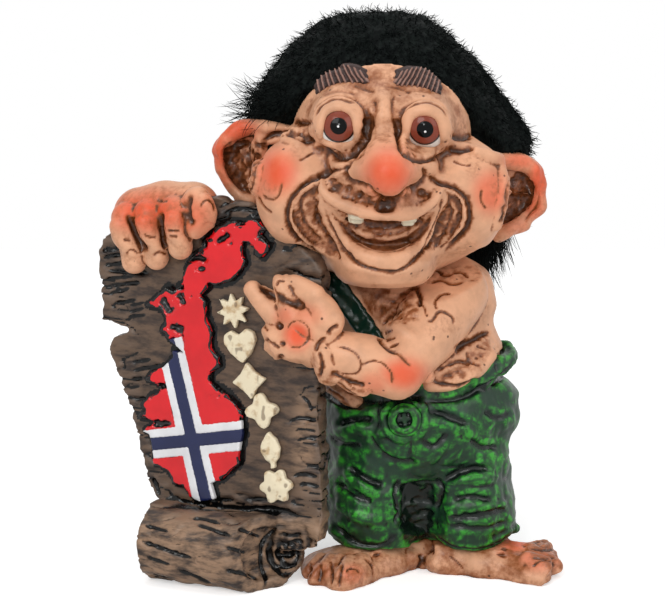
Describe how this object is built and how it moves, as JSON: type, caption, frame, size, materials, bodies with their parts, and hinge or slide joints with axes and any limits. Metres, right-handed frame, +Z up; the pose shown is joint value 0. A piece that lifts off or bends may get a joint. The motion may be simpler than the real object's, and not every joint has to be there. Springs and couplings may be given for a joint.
{
  "type": "troll figurine",
  "caption": "Barefoot grinning troll figure in green bib trousers, with a fur wig, leaning on an upright bark slab that carries a raised map, a cross and bone-coloured ornaments.",
  "frame": {"origin": "on the floor, under the middle of the figure's bounding box", "axes": "+Z up, the figure faces -Y, +X to the figure's own left"},
  "size_m": [0.1144, 0.0728, 0.1327],
  "materials": {
    "skin": "hand-painted cast resin, tan with a brown wash in the creases and an orange-red blush",
    "trousers": "painted cast resin, black-green with bright green mottling, half gloss",
    "brace": "dark green painted resin, glossy",
    "button": "green painted resin, glossy",
    "bark": "cast resin painted as bark, dark grey-brown with glossy black cracks",
    "bone": "ivory painted resin with a brown wash",
    "map_red": "glossy red enamel on cast resin with a dark rim",
    "cross_white": "glossy white enamel",
    "cross_blue": "glossy navy enamel",
    "fur": "black frizzy wig fur",
    "eye_white": "glossy white paint",
    "iris": "glossy red-brown paint",
    "pupil": "glossy black paint",
    "brow": "dark brown painted resin with combed ridges",
    "tooth": "ivory paint, half gloss"
  },
  "bodies": {
    "root": {"bark_roll": "bark", "bark_slab": "bark", "bone_star": "bone", "bone_heart": "bone", "bone_diamond": "bone", "bone_flower": "bone", "bone_leaf": "bone", "bone_blossom": "bone", "brace_strap": "brace", "button_tab": "trousers", "front_button": "button", "fur_wig": "fur", "head_casting": "skin", "left_ear": "skin", "right_ear": "skin", "left_eyeball": "eye_white", "right_eyeball": "eye_white", "left_iris": "iris", "right_iris": "iris", "left_pupil": "pupil", "right_pupil": "pupil", "left_eyebrow": "brow", "right_eyebrow": "brow", "teeth": "tooth", "left_foot": "skin", "right_foot": "skin", "left_upper_arm": "skin", "left_forearm": "skin", "left_hand": "skin", "right_upper_arm": "skin", "right_forearm": "skin", "right_hand": "skin", "map_field_red": "map_red", "map_cross_white": "cross_white", "map_cross_blue": "cross_blue", "torso_casting": "skin", "trousers_casting": "trousers", "waistband": "trousers"}
  },
  "joints": []
}
